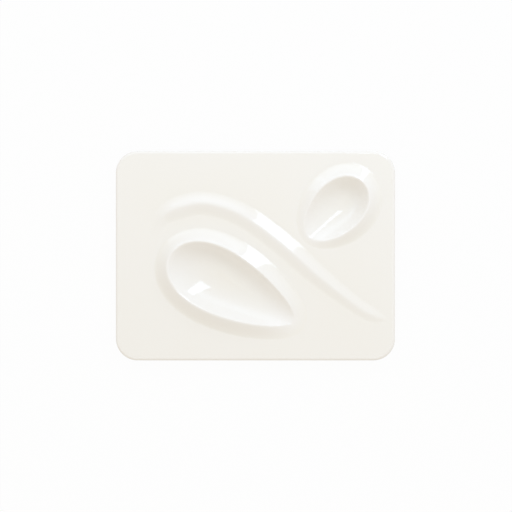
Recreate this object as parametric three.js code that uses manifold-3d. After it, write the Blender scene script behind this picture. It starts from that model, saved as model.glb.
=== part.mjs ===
// Divided serving plate: a flat rectangular deck with a leaf-shaped bowl, a small oval bowl
// and a curved ridge, cast in one piece of porcelain and covered by two coats of glaze.
// Millimetres, +Z up. The origin is the middle of the plate, on the table that it stands on.

import * as THREE from 'three';
import { LoftGeometry } from 'three/addons/geometries/LoftGeometry.js';
import { mergeVertices } from 'three/addons/utils/BufferGeometryUtils.js';
import Module from 'manifold-3d';

const wasm = await Module();
wasm.setup();

// Plate, measured over the glaze
const plateLength = 320;
const plateWidth = 240;
const cornerRadius = 25;
const deckHeight = 15.5;
const deckThickness = 6;

// Foot ring under the plate: its outer side stands in from the edge of the plate
const footInset = 18;
const footWidth = 6;
const footCornerRadius = 22;
const footFlare = 3;
const footRounding = 0.7;

// Glaze: the foot is wiped bare up to a line just above the table
const glazeThickness = 0.35;
const glazeClearance = 0.05;
const bareFootHeight = 1.2;

// Leaf bowl: its narrow tip points along the turn, in degrees from +X
const leafX = -27;
const leafY = -37;
const leafTurn = -27.7;
const leafLength = 159;
const leafWidth = 70.6;
const leafTaper = 0.33;
const leafRimHeight = 8.5;
const leafTipHeight = 1;
const leafTipFade = 5;
const leafSlope = 17;
const leafTipSlope = 14;
const leafRoundSlope = 14.5;
const leafFloorHeight = 7.5;
const leafFloorThickness = 4;
const leafLowestAlong = -17;
const leafLowestAcross = 7;
const leafHollowBend = 3.5;
const leafTipBend = 2.1;

// Small oval bowl: its low, narrow end points along the turn
const ovalX = 91.7;
const ovalY = 52.8;
const ovalTurn = -134.6;
const ovalLength = 88;
const ovalWidth = 57.5;
const ovalTaper = 0.125;
const ovalRimHeight = 7;
const ovalTipHeight = 1;
const ovalTipFade = 2.5;
const ovalSlope = 15;
const ovalTipSlope = 7;
const ovalRoundSlope = 15;
const ovalFloorHeight = 6.5;
const ovalFloorThickness = 4;
const ovalLowestAlong = -15;
const ovalLowestAcross = 4;
const ovalHollowBend = 2.9;
const ovalTipBend = 2.1;

// Form that both bowls share: how the outer slope bends, and the soft rim
const slopeBend = 1.35;
const roundEndFade = 4;
const rimRadius = 1.5;
const rimInside = 1.2;
const rimDrop = 0.6;

// Ridge: its crest runs over the leaf bowl and down to the side of the deck
const ridgeCrest = [
  [-117, 22],
  [-106, 45],
  [-87, 55.5],
  [-58, 60],
  [-18, 48],
  [28, 15.8],
  [74, -24.6],
  [120, -60],
  [136, -68.6],
  [153.5, -74],
];
const ridgeHeight = 3.7;
const ridgeSlope = 13.5;
const ridgeHeadLength = 48;
const ridgeHeadShare = 0.5;
const ridgeTailLength = 150;
const ridgeTailShare = 0.38;
const ridgeTailSlope = 8.5;
const ridgeEndLength = 24;
const ridgeEndShare = 0.35;
const ridgeBend = 1.35;
const ridgeRadius = 2.2;

// How far a raised form starts below the deck, and how far a cut runs past what it opens
const rootDepth = 0.4;
const cutMargin = 1;
const cutTaper = 0.16;

// Fineness of the curved forms
const cornerSteps = 6;
const edgeSteps = 4;
const leafSteps = 44;
const ovalSteps = 34;
const ridgeSteps = 34;
const hollowShares = [0, 0.24, 0.46, 0.64, 0.79, 0.9, 1];
const slopeShares = [0.06, 0.18, 0.42, 0.68, 0.88, 1];
const undersideShares = [1, 0.9, 0.74, 0.5, 0];
const ridgeShares = [1, 0.85, 0.55, 0.25, 0.08, -0.08, -0.25, -0.55, -0.85, -1];

// Finishes
const biscuit = { color: 0xe9e4d9, roughness: 0.85, metalness: 0 };
const ivoryGlaze = { color: 0xf2efe8, roughness: 0.08, metalness: 0 };

// The body lies under the glaze by one skin
const skin = glazeClearance + glazeThickness;
const deck = deckHeight - skin;
const underside = deckHeight - deckThickness + skin;
const middle = (deck + underside) / 2;

const leaf = {
  centre: new THREE.Vector2(leafX, leafY),
  turn: THREE.MathUtils.degToRad(leafTurn),
  halfLength: leafLength / 2,
  halfWidth: leafWidth / 2,
  taper: leafTaper,
  rimHeight: leafRimHeight,
  tipHeight: leafTipHeight,
  tipFade: leafTipFade,
  slope: leafSlope,
  tipSlope: leafTipSlope,
  roundSlope: leafRoundSlope,
  floor: leafFloorHeight - skin,
  bottom: leafFloorHeight - leafFloorThickness + skin,
  lowest: new THREE.Vector2(leafLowestAlong, leafLowestAcross),
  hollowBend: leafHollowBend,
  tipBend: leafTipBend,
  steps: leafSteps,
};

const oval = {
  centre: new THREE.Vector2(ovalX, ovalY),
  turn: THREE.MathUtils.degToRad(ovalTurn),
  halfLength: ovalLength / 2,
  halfWidth: ovalWidth / 2,
  taper: ovalTaper,
  rimHeight: ovalRimHeight,
  tipHeight: ovalTipHeight,
  tipFade: ovalTipFade,
  slope: ovalSlope,
  tipSlope: ovalTipSlope,
  roundSlope: ovalRoundSlope,
  floor: ovalFloorHeight - skin,
  bottom: ovalFloorHeight - ovalFloorThickness + skin,
  lowest: new THREE.Vector2(ovalLowestAlong, ovalLowestAcross),
  hollowBend: ovalHollowBend,
  tipBend: ovalTipBend,
  steps: ovalSteps,
};

// Distance from a crest, eased to nothing right at the crest so that the crest is round
function softDistance(distance, radius) {
  return Math.hypot(distance, radius) - radius;
}

// Concave flank of a raised form: 1 at its crest and 0 at its foot
function flank(distance, reach, radius, bend) {
  return (1 - softDistance(distance, radius) / softDistance(reach, radius)) ** bend;
}

// Closed mesh as a solid: shared corners are merged, and triangles without area are left out
function solid(geometry) {
  const bare = new THREE.BufferGeometry();
  bare.setAttribute('position', geometry.attributes.position);
  bare.setIndex(geometry.index);
  const merged = mergeVertices(bare);
  const corners = merged.index.array;
  const kept = [];
  for (let i = 0; i < corners.length; i += 3) {
    const [a, b, c] = corners.slice(i, i + 3);
    if (a !== b && b !== c && c !== a) {
      kept.push(a, b, c);
    }
  }
  const mesh = new wasm.Mesh({
    numProp: 3,
    vertProperties: merged.attributes.position.array,
    triVerts: new Uint32Array(kept),
  });
  return new wasm.Manifold(mesh);
}

// Section of a loft that has shrunk to one point
function pointSection(point, count) {
  return Array.from({ length: count }, () => point);
}

// Rounded rectangle round the origin, clockwise from above
function plateRing(inset, radius, z) {
  const ring = [];
  for (let corner = 0; corner < 4; corner += 1) {
    const sideX = corner === 0 || corner === 3 ? 1 : -1;
    const sideY = corner < 2 ? 1 : -1;
    const x = sideX * (plateLength / 2 - inset - radius);
    const y = sideY * (plateWidth / 2 - inset - radius);
    for (let step = 0; step <= cornerSteps; step += 1) {
      const angle = (Math.PI / 2) * (corner + step / cornerSteps);
      ring.push(new THREE.Vector3(x + radius * Math.cos(angle), y + radius * Math.sin(angle), z));
    }
  }
  return ring.reverse();
}

// Plain plate without bowls: deck, round edge, underside and foot ring
function plateSolid() {
  const sections = [];
  const edgeRadius = (deck - underside) / 2;
  for (let step = 0; step <= edgeSteps; step += 1) {
    const angle = Math.PI * (step / edgeSteps);
    const inset = skin + edgeRadius * (1 - Math.sin(angle));
    sections.push(plateRing(inset, cornerRadius - inset, middle + edgeRadius * Math.cos(angle)));
  }
  const footRing = (depth, z) => plateRing(footInset + depth, footCornerRadius - depth, z);
  sections.push(
    footRing(-footFlare, underside),
    footRing(-footFlare / 3, underside - footFlare / 2),
    footRing(0, underside - 2 * footFlare),
    footRing(0, bareFootHeight),
    footRing(0, footRounding),
    footRing(footRounding, 0),
    footRing(footWidth - footRounding, 0),
    footRing(footWidth, footRounding),
    footRing(footWidth, bareFootHeight),
    footRing(footWidth, underside - 2 * footFlare),
    footRing(footWidth + footFlare / 3, underside - footFlare / 2),
    footRing(footWidth + footFlare, underside),
  );
  const count = sections[0].length;
  sections.unshift(pointSection(new THREE.Vector3(0, 0, deck), count));
  sections.push(pointSection(new THREE.Vector3(0, 0, underside), count));
  return solid(new LoftGeometry(sections));
}

// Ring that follows a bowl's rim: moved outwards by an outset, drawn in to the lowest point
// by a share, and set at a height. The outset may depend on how wide the outer slope is on that
// side, and the height on that width, on the rim's own height and on the hollow's bend there.
function bowlRing(bowl, outsetAt, share, heightAt) {
  const ring = [];
  for (let step = 0; step < bowl.steps; step += 1) {
    const angle = -2 * Math.PI * (step / bowl.steps);
    const cos = Math.cos(angle);
    const sin = Math.sin(angle);
    const narrowing = 1 - bowl.taper * cos;
    const place = new THREE.Vector2(bowl.halfLength * cos, bowl.halfWidth * sin * narrowing);
    const outwards = new THREE.Vector2(
      bowl.halfWidth * (cos * narrowing + bowl.taper * sin * sin),
      bowl.halfLength * sin,
    );
    const nearTip = ((1 + cos) / 2) ** bowl.tipFade;
    const nearRound = ((1 - cos) / 2) ** roundEndFade;
    const sideWidth = THREE.MathUtils.lerp(bowl.slope, bowl.tipSlope, nearTip);
    const width = THREE.MathUtils.lerp(sideWidth, bowl.roundSlope, nearRound);
    const rim = deck + THREE.MathUtils.lerp(bowl.rimHeight, bowl.tipHeight, nearTip);
    const bend = THREE.MathUtils.lerp(bowl.hollowBend, bowl.tipBend, nearTip);
    place.addScaledVector(outwards.normalize(), outsetAt(width));
    place.lerpVectors(bowl.lowest, place, share);
    place.rotateAround(new THREE.Vector2(), bowl.turn).add(bowl.centre);
    ring.push(new THREE.Vector3(place.x, place.y, heightAt(rim, width, bend)));
  }
  return ring;
}

// Outset of a ring that stays on the rim line
function onRim() {
  return 0;
}

// Bowl with its hollow, round rim, outer slope down into the deck, and swelling underside
function bowlSolid(bowl) {
  const sections = [];
  for (const share of hollowShares) {
    const heightAt = (rim, width, bend) =>
      bowl.floor + (rim - rimDrop - bowl.floor) * share ** bend;
    sections.push(bowlRing(bowl, () => -rimInside, share, heightAt));
  }
  sections.push(bowlRing(bowl, onRim, 1, (rim) => rim));
  const root = deck - rootDepth;
  for (const share of slopeShares) {
    const heightAt = (rim, width) =>
      root + (rim - root) * flank(share * width, width, rimRadius, slopeBend);
    sections.push(bowlRing(bowl, (width) => share * width, 1, heightAt));
  }
  sections.push(bowlRing(bowl, (width) => width, 1, () => middle));
  for (const share of undersideShares) {
    const height = bowl.bottom + (middle - bowl.bottom) * share ** bowl.hollowBend;
    sections.push(bowlRing(bowl, onRim, share, () => height));
  }
  return solid(new LoftGeometry(sections));
}

// Cut through the plain plate that makes room for a bowl, all of it inside the bowl's wall
function bowlCut(bowl) {
  const top = bowlRing(bowl, onRim, 1, () => deck + cutMargin);
  const bottom = bowlRing(bowl, onRim, 1 - cutTaper, () => underside - cutMargin);
  return solid(new LoftGeometry([top, bottom], { capStart: true, capEnd: true }));
}

// Ridge that swells out of the deck at its head, dwindles along its tail and ends in the deck
function ridgeSolid() {
  const path = new THREE.CatmullRomCurve3(ridgeCrest.map(([x, y]) => new THREE.Vector3(x, y, 0)));
  const length = path.getLength();
  const root = deck - rootDepth;
  const sections = [];
  for (let step = 1; step < ridgeSteps; step += 1) {
    const share = step / ridgeSteps;
    const along = share * length;
    const head = THREE.MathUtils.smoothstep(along, 0, ridgeHeadLength);
    const tail = THREE.MathUtils.smoothstep(length - along, 0, ridgeTailLength);
    const end = THREE.MathUtils.smoothstep(length - along, 0, ridgeEndLength);
    const swell = end * THREE.MathUtils.lerp(ridgeTailShare, 1, tail);
    const width = THREE.MathUtils.lerp(ridgeTailSlope, ridgeSlope, tail);
    const narrowing = THREE.MathUtils.lerp(ridgeEndShare, 1, end);
    const reach = width * narrowing * THREE.MathUtils.lerp(ridgeHeadShare, 1, head);
    const height = (ridgeHeight + rootDepth) * head * swell;
    const place = path.getPointAt(share);
    const tangent = path.getTangentAt(share);
    const across = new THREE.Vector3(-tangent.y, tangent.x, 0);
    const section = ridgeShares.map((side) => {
      const rise = flank(side * reach, reach, ridgeRadius, ridgeBend);
      const point = place.clone().addScaledVector(across, side * reach);
      return point.setZ(root + height * rise);
    });
    section.push(place.clone().addScaledVector(across, -reach).setZ(middle));
    section.push(place.clone().addScaledVector(across, reach).setZ(middle));
    sections.push(section);
  }
  const count = sections[0].length;
  sections.unshift(pointSection(path.getPointAt(0).setZ(middle), count));
  sections.push(pointSection(path.getPointAt(1).setZ(middle), count));
  return solid(new LoftGeometry(sections));
}

// Whole body: the plain plate opened for each bowl, with the bowls and the ridge joined on
function bodyGeometry() {
  let body = plateSolid();
  for (const bowl of [leaf, oval]) {
    body = body.subtract(bowlCut(bowl)).add(bowlSolid(bowl));
  }
  const mesh = body.add(ridgeSolid()).getMesh();
  const geometry = new THREE.BufferGeometry();
  geometry.setAttribute('position', new THREE.BufferAttribute(mesh.vertProperties, 3));
  geometry.setIndex(new THREE.BufferAttribute(mesh.triVerts, 1));
  geometry.computeVertexNormals();
  return geometry;
}

// Triangles of the body that are glazed, parted into the upper side and the underside
function glazedPatches(geometry) {
  const heights = geometry.attributes.position;
  const corners = geometry.index.array;
  const glazed = [];
  for (let i = 0; i < corners.length; i += 3) {
    const triangle = [...corners.slice(i, i + 3)];
    if (triangle.some((corner) => heights.getZ(corner) > bareFootHeight + glazeClearance)) {
      glazed.push(triangle);
    }
  }
  const patchOf = new Map();
  const find = (corner) => {
    let patch = corner;
    while (patchOf.has(patch)) {
      patch = patchOf.get(patch);
    }
    return patch;
  };
  for (const triangle of glazed) {
    const [first, ...others] = triangle.map(find);
    for (const other of others) {
      if (find(other) !== find(first)) {
        patchOf.set(find(other), find(first));
      }
    }
  }
  const topPatch = find(corners[corners.findIndex((corner) => heights.getZ(corner) >= deck)]);
  const isUpper = (triangle) => find(triangle[0]) === topPatch;
  return {
    upper: glazed.filter(isUpper),
    under: glazed.filter((triangle) => !isUpper(triangle)),
  };
}

// Coat of glaze over a patch of the body, closed along the line where the glaze ends
function coatGeometry(geometry, triangles) {
  const places = geometry.attributes.position;
  const normals = geometry.attributes.normal;
  const count = places.count;
  const points = [];
  for (const depth of [glazeClearance, skin]) {
    for (let i = 0; i < count; i += 1) {
      const point = new THREE.Vector3().fromBufferAttribute(places, i);
      const outwards = new THREE.Vector3().fromBufferAttribute(normals, i);
      points.push(point.addScaledVector(outwards, depth));
    }
  }
  const directed = new Set();
  for (const [a, b, c] of triangles) {
    directed.add(`${a} ${b}`).add(`${b} ${c}`).add(`${c} ${a}`);
  }
  const faces = [];
  for (const [a, b, c] of triangles) {
    faces.push(a + count, b + count, c + count, c, b, a);
    for (const [from, to] of [[a, b], [b, c], [c, a]]) {
      if (!directed.has(`${to} ${from}`)) {
        faces.push(to + count, from + count, from, to + count, from, to);
      }
    }
  }
  const coat = new THREE.BufferGeometry().setFromPoints(points);
  coat.setIndex(faces);
  coat.computeVertexNormals();
  return coat;
}

function piece(name, geometry, finish) {
  const mesh = new THREE.Mesh(geometry, new THREE.MeshStandardMaterial(finish));
  mesh.name = name;
  return mesh;
}

const body = bodyGeometry();
const patches = glazedPatches(body);
const plate = new THREE.Group();
plate.name = 'divided_plate';
plate.add(
  piece('porcelain_body', body, biscuit),
  piece('upper_glaze', coatGeometry(body, patches.upper), ivoryGlaze),
  piece('underside_glaze', coatGeometry(body, patches.under), ivoryGlaze),
);

export default plate;
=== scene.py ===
# %% [markdown]
# A divided serving plate in ivory porcelain: a flat deck with a raised leaf-shaped bowl, a small
# oval bowl and a curved ridge, all cast in one piece, glazed, and left bare where it stands.
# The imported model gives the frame. Everything below is in metres, +Z up, in that same frame.

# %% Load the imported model
import math
import bmesh
import bpy
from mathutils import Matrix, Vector, geometry


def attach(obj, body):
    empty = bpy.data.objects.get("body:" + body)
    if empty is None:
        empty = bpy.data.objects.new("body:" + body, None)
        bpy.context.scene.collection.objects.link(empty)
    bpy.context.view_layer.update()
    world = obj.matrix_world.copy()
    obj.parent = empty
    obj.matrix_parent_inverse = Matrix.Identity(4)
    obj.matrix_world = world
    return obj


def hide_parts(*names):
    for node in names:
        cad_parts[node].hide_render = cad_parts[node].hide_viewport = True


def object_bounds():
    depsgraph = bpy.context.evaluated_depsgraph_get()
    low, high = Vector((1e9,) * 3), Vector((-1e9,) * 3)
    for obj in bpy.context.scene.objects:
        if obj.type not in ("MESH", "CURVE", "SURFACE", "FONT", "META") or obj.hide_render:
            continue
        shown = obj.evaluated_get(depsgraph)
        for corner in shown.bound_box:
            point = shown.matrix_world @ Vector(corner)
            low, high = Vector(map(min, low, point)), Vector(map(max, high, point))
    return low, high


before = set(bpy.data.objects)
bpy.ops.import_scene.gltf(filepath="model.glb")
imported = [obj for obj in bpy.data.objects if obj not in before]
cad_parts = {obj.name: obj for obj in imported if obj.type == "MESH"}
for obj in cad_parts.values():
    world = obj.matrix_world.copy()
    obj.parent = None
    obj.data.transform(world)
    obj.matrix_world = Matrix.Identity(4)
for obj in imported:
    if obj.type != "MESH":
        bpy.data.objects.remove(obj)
cad_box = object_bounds()

# %% [markdown]
# The plate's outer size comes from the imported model. The forms on it are named here in
# millimetres, as a potter would measure them, and turned to metres at once. The glaze is a glass
# skin of a third of a millimetre, so the body under it lies one skin deeper than what is seen.

# %% Sizes of the plate
MM = 0.001
PLATE_LENGTH = cad_box[1][0] - cad_box[0][0]
PLATE_WIDTH = cad_box[1][1] - cad_box[0][1]
CORNER_RADIUS = 25 * MM
DECK_HEIGHT = 15.5 * MM
DECK_THICKNESS = 6 * MM
GLAZE = 0.35 * MM
GLAZE_CLEARANCE = 0.05 * MM
SKIN = GLAZE + GLAZE_CLEARANCE
DECK = DECK_HEIGHT - SKIN
UNDERSIDE = DECK_HEIGHT - DECK_THICKNESS + SKIN
GUARD = 1.2 * MM
print("plate", round(PLATE_LENGTH / MM, 1), "by", round(PLATE_WIDTH / MM, 1), "mm")

# %% [markdown]
# Both bowls have the same kind of outline: an ellipse that narrows towards one end. Their rims
# are highest at the round end and sink almost to the deck at the narrow one. The hollow bends
# down from the rim to its lowest point, which lies off the middle, and more gently from the
# narrow end. The outer slope runs down to the deck. One dictionary per bowl keeps its numbers.

# %% Sizes of the bowls
LEAF = {
    "centre": Vector((-27, -37)) * MM,
    "turn": math.radians(-27.7),
    "half_length": 79.5 * MM,
    "half_width": 35.3 * MM,
    "taper": 0.33,
    "rim": 8.5 * MM,
    "tip_rim": 1 * MM,
    "tip_fade": 5,
    "slope": 17 * MM,
    "tip_slope": 14 * MM,
    "round_slope": 14.5 * MM,
    "floor": 7.5 * MM - SKIN,
    "bottom": 3.5 * MM + SKIN,
    "lowest": Vector((-17, 7)) * MM,
    "hollow_bend": 3.5,
    "tip_bend": 2.1,
    "spokes": 168,
}
OVAL = {
    "centre": Vector((91.7, 52.8)) * MM,
    "turn": math.radians(-134.6),
    "half_length": 44 * MM,
    "half_width": 28.75 * MM,
    "taper": 0.125,
    "rim": 7 * MM,
    "tip_rim": 1 * MM,
    "tip_fade": 2.5,
    "slope": 15 * MM,
    "tip_slope": 7 * MM,
    "round_slope": 15 * MM,
    "floor": 6.5 * MM - SKIN,
    "bottom": 2.5 * MM + SKIN,
    "lowest": Vector((-15, 4)) * MM,
    "hollow_bend": 2.9,
    "tip_bend": 2.1,
    "spokes": 132,
}
SLOPE_BEND = 1.35
ROUND_END_FADE = 4
RIM_RADIUS = 1.5 * MM
SWELLING_SHARE = 0.9
BOWLS = {"leaf": LEAF, "oval": OVAL}
for name, bowl in BOWLS.items():
    length, width = 2 * bowl["half_length"] / MM, 2 * bowl["half_width"] / MM
    print(name, "bowl is", round(length, 1), "mm long and", round(width, 1), "mm wide at its middle")


# %% [markdown]
# Two small formulas shape everything that rises from the deck. A flank falls from a rounded
# crest and runs out at its foot, a little hollow, as a hand-finished mould leaves it. A smooth
# step lets a form swell up and fade away without a corner.

# %% Formulas for flanks and fades
def soft(distance, radius):
    """Distance from a crest, eased to nothing at the crest itself so that the crest is round."""
    return math.hypot(distance, radius) - radius


def flank(distance, reach, radius, bend):
    """Height of a flank: 1 at its crest and 0 at its foot."""
    return max(0.0, 1 - soft(distance, radius) / soft(reach, radius)) ** bend


def smooth_step(value):
    """Rises from 0 to 1 and is level at both ends."""
    value = min(max(value, 0.0), 1.0)
    return value * value * (3 - 2 * value)


def mix(first, second, share):
    """The value that lies this share of the way from the first to the second."""
    return first + (second - first) * share


print("a flank halfway down keeps", round(flank(0.5, 1, 0.1, SLOPE_BEND), 2), "of its height")


# %% [markdown]
# Every form is grown as a profile is drawn: start with a ring of edges, extrude it, move the new
# ring to its place, and go on. A spin would be shorter, but it only makes round things, and none
# of these outlines is round. Each vertex keeps the number of its spoke in a layer, which an
# extrusion copies, so a formula can say where spoke 17 of the next ring belongs. A second layer
# notes how deep the glaze lies there: thin on crests, where it runs off, and deep in hollows.

# %% Growing a ring of edges
USUAL_DEPTH = 0.5
CIRCLE_RADIUS = 1.0


def grow(bm, edges, place, depth=USUAL_DEPTH):
    """Extrudes a ring of edges and moves each new vertex to place(its spoke number)."""
    spoke = bm.verts.layers.int["spoke"]
    glaze_depth = bm.verts.layers.float["glaze_depth"]
    made = bmesh.ops.extrude_edge_only(bm, edges=edges)["geom"]
    fresh = {item for item in made if isinstance(item, bmesh.types.BMVert)}
    for vert in fresh:
        vert.co = place(vert[spoke])
        vert[glaze_depth] = depth
    drawn = [item for item in made if isinstance(item, bmesh.types.BMEdge)]
    return [edge for edge in drawn if fresh.issuperset(edge.verts)]


def start_ring(bm, count, place, depth=USUAL_DEPTH, middle=None):
    """A ring of edges, closed by a fan of triangles if a middle point is given."""
    spoke = bm.verts.layers.int["spoke"]
    glaze_depth = bm.verts.layers.float["glaze_depth"]
    filled = middle is not None
    verts = bmesh.ops.create_circle(
        bm, cap_ends=filled, cap_tris=filled, segments=count, radius=CIRCLE_RADIUS,
    )["verts"]
    ring = {vert for vert in verts if vert.co.length > CIRCLE_RADIUS / 2}
    for vert in verts:
        vert[glaze_depth] = depth
        if vert in ring:
            vert[spoke] = round(math.atan2(vert.co.y, vert.co.x) / (2 * math.pi) * count) % count
            vert.co = place(vert[spoke])
        else:
            vert.co = middle
    return [edge for edge in bm.edges if ring.issuperset(edge.verts)]


print("glaze depth where no form sets it:", USUAL_DEPTH)


# %% [markdown]
# The rim of a bowl comes first, because the hollow, the outer slope and the swelling under the
# deck all start from it. A spoke is followed inwards to the lowest point or outwards, square to
# the rim, to the foot of the slope.

# %% Points of a bowl
def rim_point(bowl, number):
    """The rim on one spoke: place, outward direction, height, slope width and hollow's bend."""
    angle = 2 * math.pi * number / bowl["spokes"]
    cos, sin = math.cos(angle), math.sin(angle)
    narrowing = 1 - bowl["taper"] * cos
    place = Vector((bowl["half_length"] * cos, bowl["half_width"] * sin * narrowing))
    outwards = Vector((
        bowl["half_width"] * (cos * narrowing + bowl["taper"] * sin * sin),
        bowl["half_length"] * sin,
    )).normalized()
    near_tip = ((1 + cos) / 2) ** bowl["tip_fade"]
    near_round_end = ((1 - cos) / 2) ** ROUND_END_FADE
    rise = mix(bowl["rim"], bowl["tip_rim"], near_tip)
    width = mix(mix(bowl["slope"], bowl["tip_slope"], near_tip), bowl["round_slope"], near_round_end)
    bend = mix(bowl["hollow_bend"], bowl["tip_bend"], near_tip)
    return place, outwards, rise, width, bend


def in_plan(bowl, place, height):
    """Turns a place in the bowl's own plan into a point in the frame."""
    cos, sin = math.cos(bowl["turn"]), math.sin(bowl["turn"])
    return Vector((
        bowl["centre"].x + cos * place.x - sin * place.y,
        bowl["centre"].y + sin * place.x + cos * place.y,
        height,
    ))


def hollow_point(bowl, number, share):
    """A point in the hollow: share 0 on the rim, 1 at the lowest point."""
    place, _, rise, _, bend = rim_point(bowl, number)
    reach = (place - bowl["lowest"]).length
    depth = DECK + rise - bowl["floor"]
    height = bowl["floor"] + depth * flank(share * reach, reach, RIM_RADIUS, bend)
    return in_plan(bowl, place.lerp(bowl["lowest"], share), height)


def slope_point(bowl, number, share):
    """A point on the outer slope: share 0 on the rim, 1 at its foot, more on the deck beyond."""
    place, outwards, rise, width, _ = rim_point(bowl, number)
    height = DECK + rise * flank(share * width, width, RIM_RADIUS, SLOPE_BEND)
    return in_plan(bowl, place + outwards * (share * width), height)


def swelling_point(bowl, number, share):
    """A point of the swelling under a bowl: share 0 at its middle, 1 where it meets the underside."""
    place = rim_point(bowl, number)[0]
    place = bowl["lowest"].lerp(place, share * SWELLING_SHARE)
    return in_plan(bowl, place, mix(bowl["bottom"], UNDERSIDE, smooth_step(share)))


for name, bowl in BOWLS.items():
    hollow_depth = DECK + bowl["rim"] - bowl["floor"]
    print(name, "bowl is", round(hollow_depth / MM, 1), "mm deep under its rim")

# %% [markdown]
# The hollow starts as a small fan at the lowest point and grows outwards over the rim and down
# the slope. The rings crowd together at the rim, where the surface bends most. One last ring
# lies flat on the deck, so that the deck's own large faces stay level in every reflection.

# %% Bowls
HOLLOW_RINGS = 34
SLOPE_RINGS = 24
RING_CROWDING = 1.8
HOLLOW_DEPTH = 1.0
FOOT_DEPTH = 0.8
SWELLING_RINGS = 12
SWELLING_GUARD = 1.03


def bowl_top(bm, bowl):
    """Hollow, rim and outer slope of one bowl."""
    shares = [(step / HOLLOW_RINGS) ** RING_CROWDING for step in range(HOLLOW_RINGS)]
    inner = shares.pop()
    lowest = in_plan(bowl, bowl["lowest"], bowl["floor"])
    edges = start_ring(bm, bowl["spokes"], lambda n: hollow_point(bowl, n, inner), HOLLOW_DEPTH, lowest)
    for share in reversed(shares):
        edges = grow(bm, edges, lambda n: hollow_point(bowl, n, share), HOLLOW_DEPTH * share)
    for step in range(1, SLOPE_RINGS + 1):
        share = (step / SLOPE_RINGS) ** RING_CROWDING
        edges = grow(bm, edges, lambda n: slope_point(bowl, n, share), FOOT_DEPTH * share)
    grow(bm, edges, lambda n: slope_point(bowl, n, 1 + GUARD / bowl["slope"]))


def bowl_underside(bm, bowl):
    """The swelling that the bowl makes under the deck."""
    shares = [step / SWELLING_RINGS for step in range(1, SWELLING_RINGS + 1)] + [SWELLING_GUARD]
    middle = in_plan(bowl, bowl["lowest"], bowl["bottom"])
    edges = start_ring(bm, bowl["spokes"], lambda n: swelling_point(bowl, n, shares[0]), middle=middle)
    for share in shares[1:]:
        edges = grow(bm, edges, lambda n: swelling_point(bowl, n, share))


print("a bowl has", HOLLOW_RINGS + SLOPE_RINGS, "rings above and", SWELLING_RINGS, "below")


# %% [markdown]
# The crest of the ridge is drawn through a few points measured in plan: it hooks round the leaf
# bowl's round end, passes over it and runs down to the right. Each stretch is a smooth curve
# whose handles, a third of it long, follow the neighbouring points. The whole line is then walked
# in even steps.

# %% Crest line of the ridge
RIDGE_POINTS = [
    (-117, 22), (-106, 45), (-87, 55.5), (-58, 60), (-18, 48),
    (28, 15.8), (74, -24.6), (120, -60), (136, -68.6), (153.5, -74),
]
RIDGE_STEPS = 220
STRETCH_POINTS = 60
HANDLES_IN_STRETCH = 3


def crest_line():
    """Even points along a smooth curve through the crest's points, and the curve's length."""
    points = [Vector((x, y, 0)) * MM for x, y in RIDGE_POINTS]
    points = [2 * points[0] - points[1]] + points + [2 * points[-1] - points[-2]]
    line = []
    for before, start, end, after in zip(points, points[1:], points[2:], points[3:]):
        span = (end - start).length
        leave = (end - before) * span / (span + (start - before).length) / HANDLES_IN_STRETCH
        arrive = (after - start) * span / (span + (after - end).length) / HANDLES_IN_STRETCH
        handles = start + leave, end - arrive
        line += geometry.interpolate_bezier(start, *handles, end, STRETCH_POINTS)[:-1]
    line.append(points[-2])
    travelled = [0.0]
    for first, second in zip(line, line[1:]):
        travelled.append(travelled[-1] + (second - first).length)
    even, index = [], 0
    for step in range(RIDGE_STEPS + 1):
        wanted = travelled[-1] * step / RIDGE_STEPS
        while index < len(line) - 2 and travelled[index + 1] < wanted:
            index += 1
        share = (wanted - travelled[index]) / (travelled[index + 1] - travelled[index])
        even.append(line[index].lerp(line[index + 1], share))
    return even, travelled[-1]


CREST, CREST_LENGTH = crest_line()
print("ridge", round(CREST_LENGTH / MM), "mm along its crest")

# %% [markdown]
# The ridge swells out of the deck at its head, keeps its height over the leaf bowl, dwindles along
# its tail and ends near the edge. A bevelled curve could follow the crest, but its width and its
# height have to change by different amounts on the way. So a flat grid is laid along the crest
# line and raised by the flank formula. Its columns crowd together at the crest, and the outermost
# lie on the deck.

# %% Ridge
RIDGE_HEIGHT = 3.7 * MM
RIDGE_SLOPE = 13.5 * MM
RIDGE_TAIL_SLOPE = 8.5 * MM
RIDGE_HEAD = 48 * MM
RIDGE_HEAD_SHARE = 0.5
RIDGE_TAIL = 150 * MM
RIDGE_TAIL_SHARE = 0.38
RIDGE_END = 24 * MM
RIDGE_END_SHARE = 0.35
RIDGE_BEND = 1.35
RIDGE_RADIUS = 2.2 * MM
RIDGE_COLUMNS = 18
COLUMN_CROWDING = 1.7


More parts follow.
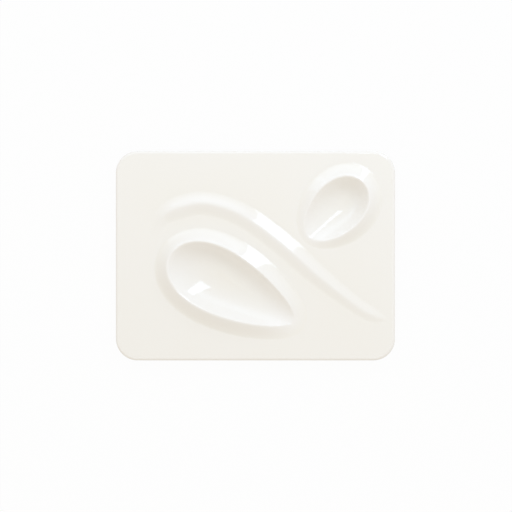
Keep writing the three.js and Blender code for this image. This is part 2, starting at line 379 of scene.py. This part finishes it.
def ridge_top(bm):
    """Grid over the ridge, with its long sides and ends level with the deck."""
    glaze_depth = bm.verts.layers.float["glaze_depth"]
    half = RIDGE_COLUMNS + 1
    grid = bmesh.ops.create_grid(bm, x_segments=RIDGE_STEPS, y_segments=2 * half, size=1)["verts"]
    for vert in grid:
        step = round((vert.co.x + 1) / 2 * RIDGE_STEPS)
        column = round(vert.co.y * half)
        along = CREST_LENGTH * step / RIDGE_STEPS
        left = CREST_LENGTH - along
        head = smooth_step(along / RIDGE_HEAD)
        tail = smooth_step(left / RIDGE_TAIL)
        end = smooth_step(left / RIDGE_END)
        swell = mix(RIDGE_TAIL_SHARE, 1, tail) * end
        width = mix(RIDGE_TAIL_SLOPE, RIDGE_SLOPE, tail)
        reach = width * mix(RIDGE_HEAD_SHARE, 1, head) * mix(RIDGE_END_SHARE, 1, end)
        ahead = CREST[min(step + 1, RIDGE_STEPS)] - CREST[max(step - 1, 0)]
        across = Vector((-ahead.y, ahead.x, 0)).normalized()
        share = (min(abs(column), RIDGE_COLUMNS) / RIDGE_COLUMNS) ** COLUMN_CROWDING
        beyond = GUARD if abs(column) == half else 0.0
        rise = RIDGE_HEIGHT * head * swell * flank(share * reach, reach, RIDGE_RADIUS, RIDGE_BEND)
        sideways = math.copysign(share * reach + beyond, column)
        vert.co = CREST[step] + across * sideways + Vector((0, 0, DECK + rise))
        vert[glaze_depth] = mix(USUAL_DEPTH, FOOT_DEPTH * share, head * swell)


print("ridge rises", round(RIDGE_HEIGHT / MM, 1), "mm and is", round(2 * RIDGE_SLOPE / MM), "mm wide")


# %% [markdown]
# The plate itself is a rounded rectangle. A bevelled box would give its round edge but not the
# foot ring, which flares a little where it leaves the underside, as cast ware has it. So edge,
# underside and foot are one profile, given as inset from the edge, corner radius and height.

# %% Profile of edge and foot
CORNER_STEPS = 16
SIDE_STEPS = 8
RING_COUNT = 4 * (CORNER_STEPS + SIDE_STEPS)
EDGE_STEPS = 16
EDGE_RADIUS = (DECK - UNDERSIDE) / 2
FOOT_INSET = 18 * MM
FOOT_WIDTH = 6 * MM
FOOT_CORNER_RADIUS = 22 * MM
FOOT_FLARE = 3 * MM
FOOT_ROUNDING = 0.7 * MM
BARE_HEIGHT = 1.2 * MM
FLARE_STEPS = 8
ROUNDING_STEPS = 3


def plate_point(number, inset, radius, height):
    """A point of the rounded rectangle that lies inset from the plate's edge."""
    corner, step = divmod(number, CORNER_STEPS + SIDE_STEPS)
    x, y = PLATE_LENGTH / 2 - inset - radius, PLATE_WIDTH / 2 - inset - radius
    centres = [(x, y), (-x, y), (-x, -y), (x, -y)]

    def on_corner(which, share):
        angle = math.pi / 2 * (which + share)
        across, along = centres[which]
        return Vector((across + radius * math.cos(angle), along + radius * math.sin(angle), height))

    if step <= CORNER_STEPS:
        return on_corner(corner, step / CORNER_STEPS)
    share = (step - CORNER_STEPS) / SIDE_STEPS
    return on_corner(corner, 1).lerp(on_corner((corner + 1) % 4, 0), share)


def edge_profile():
    """From the deck round the edge to the underside."""
    rings = []
    for step in range(EDGE_STEPS + 1):
        angle = math.pi * step / EDGE_STEPS
        inset = SKIN + EDGE_RADIUS * (1 - math.sin(angle))
        rings.append((inset, CORNER_RADIUS - inset, DECK - EDGE_RADIUS * (1 - math.cos(angle))))
    inset = SKIN + EDGE_RADIUS + GUARD
    return rings + [(inset, CORNER_RADIUS - inset, UNDERSIDE)]


def foot_profile():
    """Down the outside of the foot ring, across its standing face and up its inside."""
    drop = [(-FOOT_FLARE - GUARD, UNDERSIDE)]
    for step in range(FLARE_STEPS + 1):
        angle = math.pi / 2 * step / FLARE_STEPS
        away = FOOT_FLARE * (1 - math.sin(angle))
        down = FOOT_FLARE * (1 - math.cos(angle))
        drop.append((-away, UNDERSIDE - down))
    drop += [(0, 2 * BARE_HEIGHT), (0, BARE_HEIGHT)]
    for step in range(ROUNDING_STEPS + 1):
        angle = math.pi / 2 * step / ROUNDING_STEPS
        drop.append((FOOT_ROUNDING * (1 - math.cos(angle)), FOOT_ROUNDING * (1 - math.sin(angle))))
    climb = [(FOOT_WIDTH - depth, height) for depth, height in reversed(drop)]
    return [(FOOT_INSET + depth, FOOT_CORNER_RADIUS - depth, height) for depth, height in drop + climb]


print("profile of", len(edge_profile() + foot_profile()), "rings of", RING_COUNT, "points")

# %% [markdown]
# Now the body is put together. Joining finished solids by booleans would leave thin slivers along
# every seam. Instead the deck is filled with triangles between the plate's outer ring and the foot
# lines of the bowls and the ridge. The outer ring then grows along the profile, and the underside
# is filled in the same way round the two swellings. The result is one closed skin.

# %% Body
ML = 1e-6
EDGE_DEPTH = 0.25


def level_edges(bm, height):
    """Open edges that lie at one height."""
    rims = [edge for edge in bm.edges if edge.is_boundary]
    return [
        edge for edge in rims
        if all(abs(vert.co.z - height) < GLAZE_CLEARANCE for vert in edge.verts)
    ]


def make_body():
    """The whole fired body as one closed skin."""
    bm = bmesh.new()
    bm.verts.layers.int.new("spoke")
    bm.verts.layers.float.new("glaze_depth")
    bowl_top(bm, LEAF)
    bowl_top(bm, OVAL)
    ridge_top(bm)
    foot_lines = level_edges(bm, DECK)
    inset = SKIN + EDGE_RADIUS + GUARD
    ring = start_ring(bm, RING_COUNT, lambda n: plate_point(n, inset, CORNER_RADIUS - inset, DECK))
    bmesh.ops.triangle_fill(bm, use_beauty=True, edges=foot_lines + ring, normal=(0, 0, 1))
    for inset, radius, height in edge_profile():
        ring = grow(bm, ring, lambda n: plate_point(n, inset, radius, height), EDGE_DEPTH)
    for inset, radius, height in foot_profile():
        ring = grow(bm, ring, lambda n: plate_point(n, inset, radius, height))
    bowl_underside(bm, LEAF)
    bowl_underside(bm, OVAL)
    foot_lines = level_edges(bm, UNDERSIDE)
    bmesh.ops.triangle_fill(bm, use_beauty=True, edges=foot_lines, normal=(0, 0, -1))
    bmesh.ops.recalc_face_normals(bm, faces=bm.faces)
    bm.normal_update()
    return bm


body_form = make_body()
open_edges = sum(1 for edge in body_form.edges if not edge.is_manifold)
body_volume = round(body_form.calc_volume() / ML)
print("body of", len(body_form.faces), "faces,", open_edges, "open edges,", body_volume, "ml")


# %% [markdown]
# The glaze is laid on the finished body: its faces are copied, lifted by the thickness of the
# skin and given a thickness of their own. The foot is wiped bare before firing, so that it does
# not stick to the kiln shelf, and that parts the glaze into an upper and an underside coat. A
# Solidify modifier could thicken a copy too, but each coat covers only one zone of the body.

# %% Coats of glaze
FACING_DOWN = 0.2


def zone_of(face):
    """What covers a face of the body: nothing, the underside coat or the upper coat."""
    centre = face.calc_center_median()
    if centre.z < BARE_HEIGHT:
        return "bare"
    if centre.z > UNDERSIDE + GLAZE_CLEARANCE or face.normal.z > FACING_DOWN:
        return "upper"
    past_x = max(0.0, abs(centre.x) - PLATE_LENGTH / 2 + FOOT_INSET + FOOT_CORNER_RADIUS)
    past_y = max(0.0, abs(centre.y) - PLATE_WIDTH / 2 + FOOT_INSET + FOOT_CORNER_RADIUS)
    inside = math.hypot(past_x, past_y) < FOOT_CORNER_RADIUS - FOOT_WIDTH / 2
    return "under" if inside else "upper"


def make_coat(form, zone):
    """A closed shell of glaze over one zone of the body."""
    coat = form.copy()
    coat.normal_update()
    others = [face for face in coat.faces if zone_of(face) != zone]
    lifted = [vert.co + vert.normal * SKIN for vert in coat.verts]
    for vert, place in zip(coat.verts, lifted):
        vert.co = place
    bmesh.ops.delete(coat, geom=others, context="FACES")
    bmesh.ops.solidify(coat, geom=coat.faces, thickness=GLAZE)
    return coat


upper_form = make_coat(body_form, "upper")
under_form = make_coat(body_form, "under")
coat_volumes = [round(form.calc_volume() / ML, 1) for form in (upper_form, under_form)]
print("glaze", coat_volumes[0], "and", coat_volumes[1], "ml")


# %% [markdown]
# Each form becomes a smooth-shaded piece that stands for one node of the imported model and rides on
# its only body.

# %% Pieces
def add_piece(bm, name, node):
    """A piece made of one form, which is used up."""
    mesh = bpy.data.meshes.new(name)
    for face in bm.faces:
        face.smooth = True
    bm.to_mesh(mesh)
    bm.free()
    piece = bpy.data.objects.new(name, mesh)
    bpy.context.scene.collection.objects.link(piece)
    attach(piece, "root")
    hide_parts(node)
    print(name, "has", len(mesh.polygons), "faces")
    return piece


upper_coat = add_piece(upper_form, "glazed_upper_side", "upper_glaze")
under_coat = add_piece(under_form, "glazed_underside", "underside_glaze")
biscuit_body = add_piece(body_form, "biscuit_body", "porcelain_body")


# %% [markdown]
# Colours are written as they look, in sRGB, and turned into the linear values that shaders want.
# One small function adds a shader node with its settings and links, so a material reads as a
# list of its layers.

# %% Helpers for materials
def colour(hex_code):
    """Linear colour from an sRGB hex code."""
    parts = [int(hex_code[i:i + 2], 16) / 255 for i in (1, 3, 5)]
    return (*[p / 12.92 if p <= 0.04045 else ((p + 0.055) / 1.055) ** 2.4 for p in parts], 1.0)


def add_node(tree, kind, settings=None, values=None, links=None):
    """A node with its properties set, its inputs given values, and other nodes' outputs linked in."""
    node = tree.nodes.new(kind)
    for name, value in (settings or {}).items():
        setattr(node, name, value)
    for socket, value in (values or {}).items():
        node.inputs[socket].default_value = value
    for socket, output in (links or {}).items():
        tree.links.new(output, node.inputs[socket])
    return node


def new_material(name):
    """An empty material and its tree of nodes."""
    material = bpy.data.materials.new(name)
    material.use_nodes = True
    material.node_tree.nodes.clear()
    return material, material.node_tree


def per_metre(size_mm):
    """Texture scale that gives features of about this size."""
    return 1000 / size_mm


print("ivory in linear light", [round(part, 3) for part in colour("#f3f0ea")[:3]])


# %% [markdown]
# The glaze is a clear, slightly yellow glass over a white body, which gives the eye an ivory
# white with sharp, mirror-like lights. It is thinner and whiter on crests and edges, deeper and
# warmer in hollows and at the foot of slopes. Its surface is not quite flat: it swims in long
# waves and carries a fine orange skin, and faint clouds of haze dull the gloss here and there.
# Real depth in clear glass would take long to render and change little in so thin a coat, so the
# depth only tints the colour. The sizes of the patterns are in millimetres.

# %% Ivory glaze
CERAMIC_IOR = 1.5
THIN_GLAZE = "#f6f4f1"
DEEP_GLAZE = "#f4f1e9"
CLOUD_SIZE = 70
CLOUD_SHARE = 0.25
WAVE_SIZE = 22
WAVE_HEIGHT = 0.02 * MM
ORANGE_SKIN_SIZE = 1.6
ORANGE_SKIN_HEIGHT = 0.001 * MM
HAZE_SIZE = 40
CLEAR_LIMIT, HAZY_LIMIT = 0.3, 0.7
CLEAR_ROUGHNESS, HAZY_ROUGHNESS = 0.03, 0.065


def ivory_glaze():
    """Glossy glaze on porcelain: ivory white with sharp lights."""
    material, tree = new_material("ivory_glazed_porcelain")
    place = add_node(tree, "ShaderNodeTexCoord").outputs["Object"]
    depth = add_node(tree, "ShaderNodeAttribute", {"attribute_name": "glaze_depth"}).outputs["Fac"]
    clouds = add_node(
        tree, "ShaderNodeTexNoise",
        values={"Scale": per_metre(CLOUD_SIZE), "Detail": 3.0}, links={"Vector": place},
    )
    cloudy_depth = add_node(
        tree, "ShaderNodeMix",
        values={"Factor": CLOUD_SHARE}, links={"A": depth, "B": clouds.outputs["Fac"]},
    )
    ivory = add_node(tree, "ShaderNodeValToRGB", links={"Fac": cloudy_depth.outputs["Result"]})
    ivory.color_ramp.elements[0].color = colour(THIN_GLAZE)
    ivory.color_ramp.elements[1].color = colour(DEEP_GLAZE)
    waves = add_node(
        tree, "ShaderNodeTexNoise",
        values={"Scale": per_metre(WAVE_SIZE), "Detail": 1.0}, links={"Vector": place},
    )
    waving = add_node(
        tree, "ShaderNodeBump",
        values={"Distance": WAVE_HEIGHT}, links={"Height": waves.outputs["Fac"]},
    )
    skin = add_node(
        tree, "ShaderNodeTexNoise",
        values={"Scale": per_metre(ORANGE_SKIN_SIZE), "Detail": 0.0}, links={"Vector": place},
    )
    rippled = add_node(
        tree, "ShaderNodeBump", values={"Distance": ORANGE_SKIN_HEIGHT},
        links={"Height": skin.outputs["Fac"], "Normal": waving.outputs["Normal"]},
    )
    haze = add_node(
        tree, "ShaderNodeTexNoise",
        values={"Scale": per_metre(HAZE_SIZE), "Detail": 5.0}, links={"Vector": place},
    )
    roughness = add_node(
        tree, "ShaderNodeMapRange",
        values={
            "From Min": CLEAR_LIMIT, "From Max": HAZY_LIMIT,
            "To Min": CLEAR_ROUGHNESS, "To Max": HAZY_ROUGHNESS,
        },
        links={"Value": haze.outputs["Fac"]},
    )
    surface = add_node(
        tree, "ShaderNodeBsdfPrincipled", values={"IOR": CERAMIC_IOR},
        links={
            "Base Color": ivory.outputs["Color"],
            "Roughness": roughness.outputs["Result"],
            "Normal": rippled.outputs["Normal"],
        },
    )
    add_node(tree, "ShaderNodeOutputMaterial", links={"Surface": surface.outputs["BSDF"]})
    return material


glaze = ivory_glaze()
upper_coat.data.materials.append(glaze)
under_coat.data.materials.append(glaze)
print("glaze has", len(glaze.node_tree.nodes), "nodes")


# %% [markdown]
# Where the glaze is wiped off, the fired body shows: unglazed, vitrified porcelain, dry and matt
# to the eye, with a fine sandy grain. The real grain is too fine to show, so it is drawn at half
# a millimetre. The standing face is rubbed a little grey by tables.

# %% Bare biscuit
DARK_GRAIN = "#ded7c8"
PALE_GRAIN = "#efeae0"
RUBBED_GREY = "#b9b4aa"
GRAIN_SIZE = 0.5
GRAIN_HEIGHT = 0.03 * MM
RUBBED_PATCH_SIZE = 9
RUBBED_SHARE = 0.6
BISCUIT_ROUGHNESS = 0.85


def bare_biscuit():
    """Unglazed porcelain: dry, matt and sandy."""
    material, tree = new_material("bare_porcelain_biscuit")
    place = add_node(tree, "ShaderNodeTexCoord").outputs["Object"]
    grain = add_node(
        tree, "ShaderNodeTexNoise",
        values={"Scale": per_metre(GRAIN_SIZE), "Detail": 4.0}, links={"Vector": place},
    ).outputs["Fac"]
    clay = add_node(tree, "ShaderNodeValToRGB", links={"Fac": grain})
    clay.color_ramp.elements[0].color = colour(DARK_GRAIN)
    clay.color_ramp.elements[1].color = colour(PALE_GRAIN)
    height = add_node(tree, "ShaderNodeSeparateXYZ", links={"Vector": place}).outputs["Z"]
    rubbed = add_node(
        tree, "ShaderNodeMapRange",
        values={"From Min": 0.0, "From Max": FOOT_ROUNDING / 2, "To Min": RUBBED_SHARE, "To Max": 0.0},
        links={"Value": height},
    )
    patches = add_node(
        tree, "ShaderNodeTexNoise",
        values={"Scale": per_metre(RUBBED_PATCH_SIZE), "Detail": 6.0}, links={"Vector": place},
    )
    wear = add_node(
        tree, "ShaderNodeMath", {"operation": "MULTIPLY"},
        links={0: rubbed.outputs["Result"], 1: patches.outputs["Fac"]},
    )
    worn = add_node(
        tree, "ShaderNodeMixRGB", values={"Color2": colour(RUBBED_GREY)},
        links={"Fac": wear.outputs["Value"], "Color1": clay.outputs["Color"]},
    )
    sandy = add_node(tree, "ShaderNodeBump", values={"Distance": GRAIN_HEIGHT}, links={"Height": grain})
    surface = add_node(
        tree, "ShaderNodeBsdfPrincipled",
        values={"IOR": CERAMIC_IOR, "Roughness": BISCUIT_ROUGHNESS},
        links={"Base Color": worn.outputs["Color"], "Normal": sandy.outputs["Normal"]},
    )
    add_node(tree, "ShaderNodeOutputMaterial", links={"Surface": surface.outputs["BSDF"]})
    return material


biscuit = bare_biscuit()
biscuit_body.data.materials.append(biscuit)
print("biscuit has", len(biscuit.node_tree.nodes), "nodes")


# %% [markdown]
# The plate lies on a sheet of pale paper, matt and faintly cloudy to the eye. To the camera and in
# reflections the paper is close to pure white, as in a cut-out picture, but it still takes a
# breath of the plate's shadow, which a floor of pure light would lose. To the plate it is ordinary
# grey-white paper that only gives back the light that falls on it.

# %% Paper floor
FLOOR_HALF = 3.0
FLOOR_CLEARANCE = 0.1 * MM
SEEN_WHITE = 0.965
DARK_PAPER = "#d3d3d3"
PALE_PAPER = "#d8d8d8"
PAPER_CLOUD_SIZE = 12
PAPER_ROUGHNESS = 0.9


def white_paper():
    """Plain paper, made white where a ray that is looking meets it."""
    material, tree = new_material("white_paper")
    place = add_node(tree, "ShaderNodeTexCoord").outputs["Object"]
    clouds = add_node(
        tree, "ShaderNodeTexNoise",
        values={"Scale": per_metre(PAPER_CLOUD_SIZE), "Detail": 6.0}, links={"Vector": place},
    )
    shade = add_node(tree, "ShaderNodeValToRGB", links={"Fac": clouds.outputs["Fac"]})
    shade.color_ramp.elements[0].color = colour(DARK_PAPER)
    shade.color_ramp.elements[1].color = colour(PALE_PAPER)
    paper = add_node(
        tree, "ShaderNodeBsdfPrincipled",
        values={"Roughness": PAPER_ROUGHNESS}, links={"Base Color": shade.outputs["Color"]},
    )
    white = add_node(tree, "ShaderNodeEmission")
    rays = add_node(tree, "ShaderNodeLightPath").outputs
    direct = add_node(
        tree, "ShaderNodeMath", {"operation": "ADD"},
        links={0: rays["Is Camera Ray"], 1: rays["Is Glossy Ray"]},
    )
    looking = add_node(
        tree, "ShaderNodeMath", {"operation": "ADD"},
        links={0: direct.outputs["Value"], 1: rays["Is Transmission Ray"]},
    )
    share = add_node(
        tree, "ShaderNodeMath", {"operation": "MULTIPLY"},
        values={1: SEEN_WHITE}, links={0: looking.outputs["Value"]},
    )
    surface = add_node(
        tree, "ShaderNodeMixShader",
        links={0: share.outputs["Value"], 1: paper.outputs["BSDF"], 2: white.outputs["Emission"]},
    )
    add_node(tree, "ShaderNodeOutputMaterial", links={"Surface": surface.outputs["Shader"]})
    return material


floor_form = bmesh.new()
bmesh.ops.create_grid(floor_form, x_segments=1, y_segments=1, size=FLOOR_HALF)
bmesh.ops.translate(floor_form, verts=floor_form.verts, vec=(0, 0, -FLOOR_CLEARANCE))
floor_mesh = bpy.data.meshes.new("paper_floor")
floor_form.to_mesh(floor_mesh)
floor_form.free()
floor_mesh.materials.append(white_paper())
floor = bpy.data.objects.new("paper_floor", floor_mesh)
bpy.context.scene.collection.objects.link(floor)
print("floor", 2 * FLOOR_HALF, "m wide")


# %% [markdown]
# The light is a bright tent with four panels. A tall strip at the upper right draws the sharp
# lights on the slopes and in the bowls. A low and a tall panel behind overlap, lift every slope
# that faces the back and let the deck darken towards the front. A small one at the upper left
# touches the round ends. The tent is warm and the panels are cool daylight, so the shadows, which
# only the tent reaches, turn golden.

# %% Lights
DAYLIGHT = "#cae2ff"
TENT_COLOUR = "#fff9ef"
TENT_STRENGTH = 0.83
# Angle from +X, angle above the table and distance; width and height in metres; power in watts.
PANELS = {
    "back_panel": ((90, 40, 1.17), (1.2, 0.5), 1.5),
    "tall_panel": ((90, 42, 1.25), (1.5, 1.0), 1.1),
    "strip_panel": ((51.5, 45, 1.85), (0.27, 2.25), 9.0),
    "left_panel": ((130, 35, 1.85), (0.5, 0.8), 1.3),
}


def around(azimuth, elevation, distance):
    """A place round the plate: angle from +X, angle above the table, distance from the middle."""
    azimuth, elevation = math.radians(azimuth), math.radians(elevation)
    level = distance * math.cos(elevation)
    height = distance * math.sin(elevation)
    return Vector((level * math.cos(azimuth), level * math.sin(azimuth), height))


def add_panel(name, place, size, power):
    """A rectangular light panel that faces the middle of the plate."""
    light = bpy.data.lights.new(name, "AREA")
    light.shape = "RECTANGLE"
    light.size, light.size_y = size
    light.energy = power
    light.color = colour(DAYLIGHT)[:3]
    panel = bpy.data.objects.new(name, light)
    panel.location = place
    panel.rotation_euler = (-place).to_track_quat("-Z", "Y").to_euler()
    bpy.context.scene.collection.objects.link(panel)


for name, (direction, size, power) in PANELS.items():
    add_panel(name, around(*direction), size, power)
tent = bpy.data.worlds.new("tent")
tent.use_nodes = True
tent_light = tent.node_tree.nodes["Background"].inputs
tent_light["Color"].default_value = colour(TENT_COLOUR)
tent_light["Strength"].default_value = TENT_STRENGTH
bpy.context.scene.world = tent

# %% [markdown]
# The camera looks straight down, with the plate's back edge at the top of the picture. It stands far
# enough away that the rims hardly lean. The picture is as wide as the plate and its margins, so the
# lens follows from the camera's height.

# %% Camera
CAMERA_HEIGHT = 1.8
CAMERA_PLACE = Vector((0.6, -0.3)) * MM
PICTURE_WIDTH = 586 * MM
camera_data = bpy.data.cameras.new("camera")
camera_data.lens = camera_data.sensor_width * (CAMERA_HEIGHT - DECK_HEIGHT) / PICTURE_WIDTH
camera = bpy.data.objects.new("camera", camera_data)
camera.location = (*CAMERA_PLACE, CAMERA_HEIGHT)
bpy.context.scene.collection.objects.link(camera)
bpy.context.scene.camera = camera
bpy.context.scene.view_settings.view_transform = "Standard"
print("lens", round(camera_data.lens, 1), "mm")
